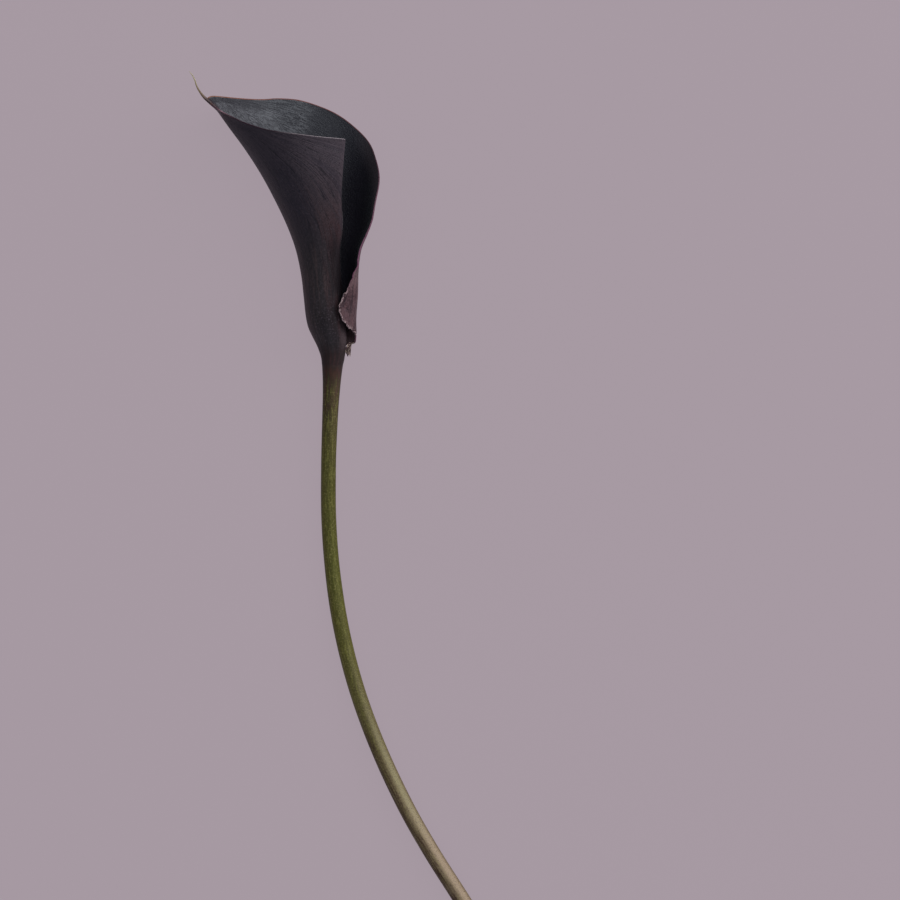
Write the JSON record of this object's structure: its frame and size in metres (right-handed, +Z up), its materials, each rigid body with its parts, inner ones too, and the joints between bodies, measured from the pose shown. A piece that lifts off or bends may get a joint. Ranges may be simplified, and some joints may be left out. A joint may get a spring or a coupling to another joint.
{
  "type": "calla lily flower",
  "caption": "Cut calla lily flower: a dark sheet rolled into a flared trumpet with a tail at its tip, a spadix inside it and a long curved stem, lying on its back.",
  "frame": {"origin": "middle of the bounding box, on the surface that the flower lies on", "axes": "+Y from the cut end of the stem towards the tip of the bloom, +Z up from the surface, +X to the side that the cut end swings out to"},
  "size_m": [0.1438, 0.3997, 0.0457],
  "materials": {
    "stem": "smooth waxy olive green, red-brown under the bloom and towards the cut end",
    "spathe": "satin, near-black purple with fine lengthwise veins, a velvety inside and a thin reddish rim",
    "spadix": "matt, closely set florets dusted with pollen"
  },
  "bodies": {
    "root": {"stem": "stem", "spathe": "spathe", "spadix": "spadix"}
  },
  "joints": []
}
